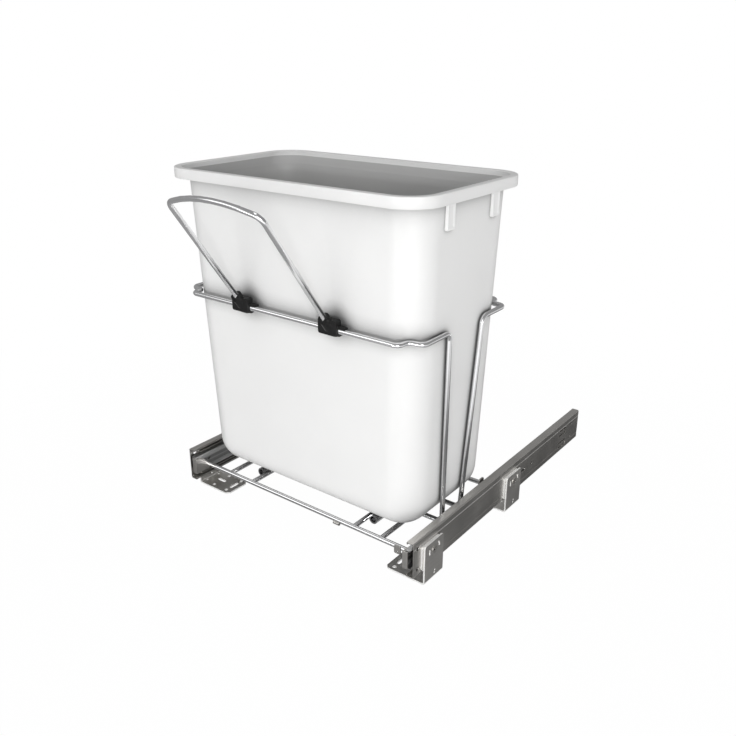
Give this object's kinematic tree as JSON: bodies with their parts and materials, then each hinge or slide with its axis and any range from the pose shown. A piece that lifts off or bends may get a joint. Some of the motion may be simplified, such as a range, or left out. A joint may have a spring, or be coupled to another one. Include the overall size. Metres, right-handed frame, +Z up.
{
  "type": "pull-out waste bin unit",
  "caption": "Floor-mounted pull-out waste bin: tapered plastic bin in a wire frame with a swinging bail handle, on full-extension ball runners with screw-down feet.",
  "frame": {"origin": "middle of the four inner floor-screw holes, at the underside of the feet", "axes": "+X to the right seen from the front, +Y back along the runners, +Z up; the drawer pulls out along -Y"},
  "size_m": [0.3774, 0.5353, 0.4357],
  "materials": {
    "runner_zinc": "cold-rolled steel with a dull zinc plate",
    "plate_zinc": "pressed steel sheet with a dull zinc plate and brighter cut edges",
    "bright_wire": "bright chrome-plated drawn wire",
    "cage_steel": "plain steel strip",
    "ball_steel": "polished ball steel",
    "stop_rubber": "matt black rubber",
    "clip_plastic": "matt black moulded nylon",
    "bin_plastic": "satin white moulded polypropylene with a fine grain"
  },
  "bodies": {
    "floor_runners": {"fixed_member_left": "runner_zinc", "fixed_member_right": "runner_zinc", "rear_stop_left": "stop_rubber", "rear_stop_right": "stop_rubber", "bracket_front_left": "plate_zinc", "bracket_front_right": "plate_zinc", "bracket_rear_left": "plate_zinc", "bracket_rear_right": "plate_zinc", "spacer_front_left": "plate_zinc", "spacer_front_right": "plate_zinc", "spacer_rear_left": "plate_zinc", "spacer_rear_right": "plate_zinc", "bracket_rivets_left": "plate_zinc", "bracket_rivets_right": "plate_zinc"},
    "middle_left": {"middle_member_left": "runner_zinc"},
    "outer_cage_left": {"outer_cage_left": "cage_steel", "outer_balls_left": "ball_steel"},
    "inner_cage_left": {"inner_cage_left": "cage_steel", "inner_balls_left": "ball_steel"},
    "middle_right": {"middle_member_right": "runner_zinc"},
    "outer_cage_right": {"outer_cage_right": "cage_steel", "outer_balls_right": "ball_steel"},
    "inner_cage_right": {"inner_cage_right": "cage_steel", "inner_balls_right": "ball_steel"},
    "bin": {"waste_bin": "bin_plastic"},
    "handle": {"handle_bail": "bright_wire", "clip_left": "clip_plastic", "clip_right": "clip_plastic"},
    "drawer": {"drawer_member_left": "runner_zinc", "drawer_member_right": "runner_zinc", "front_ear_left": "plate_zinc", "front_ear_right": "plate_zinc", "ear_rivets_left": "plate_zinc", "ear_rivets_right": "plate_zinc", "side_plate_left": "plate_zinc", "side_plate_right": "plate_zinc", "plate_rivets_left": "plate_zinc", "plate_rivets_right": "plate_zinc", "front_bar": "bright_wire", "rear_bar": "bright_wire", "bar_tab": "plate_zinc", "bar_stub": "bright_wire", "floor_wire_1": "bright_wire", "floor_wire_2": "bright_wire", "floor_wire_3": "bright_wire", "floor_wire_4": "bright_wire", "receiver_tube_left": "bright_wire", "receiver_tube_right": "bright_wire", "front_hoop": "bright_wire", "rear_hoop": "bright_wire"}
  },
  "joints": [
    {"name": "drawer_slide", "type": "slide", "parent": "floor_runners", "child": "drawer", "axis": [0, -1, 0], "range_m": [0, 0.4]},
    {"name": "middle_left_slide", "type": "slide", "parent": "floor_runners", "child": "middle_left", "axis": [0, -1, 0], "range_m": [0, 0.2]},
    {"name": "outer_cage_left_slide", "type": "slide", "parent": "floor_runners", "child": "outer_cage_left", "axis": [0, -1, 0], "range_m": [0, 0.1]},
    {"name": "inner_cage_left_slide", "type": "slide", "parent": "floor_runners", "child": "inner_cage_left", "axis": [0, -1, 0], "range_m": [0, 0.3]},
    {"name": "middle_right_slide", "type": "slide", "parent": "floor_runners", "child": "middle_right", "axis": [0, -1, 0], "range_m": [0, 0.2]},
    {"name": "outer_cage_right_slide", "type": "slide", "parent": "floor_runners", "child": "outer_cage_right", "axis": [0, -1, 0], "range_m": [0, 0.1]},
    {"name": "inner_cage_right_slide", "type": "slide", "parent": "floor_runners", "child": "inner_cage_right", "axis": [0, -1, 0], "range_m": [0, 0.3]},
    {"name": "handle_hinge", "type": "hinge", "parent": "drawer", "child": "handle", "pos_m": [0, -0.112, 0.2845], "axis": [1, 0, 0], "range_deg": [-30, 140]},
    {"name": "bin_lift", "type": "slide", "parent": "drawer", "child": "bin", "axis": [0, 0, 1], "range_m": [0, 0.26]}
  ],
  "couplings": [
    {"joint": "middle_left_slide", "follows": "drawer_slide", "ratio": 0.5},
    {"joint": "outer_cage_left_slide", "follows": "drawer_slide", "ratio": 0.25},
    {"joint": "inner_cage_left_slide", "follows": "drawer_slide", "ratio": 0.75},
    {"joint": "middle_right_slide", "follows": "drawer_slide", "ratio": 0.5},
    {"joint": "outer_cage_right_slide", "follows": "drawer_slide", "ratio": 0.25},
    {"joint": "inner_cage_right_slide", "follows": "drawer_slide", "ratio": 0.75}
  ]
}
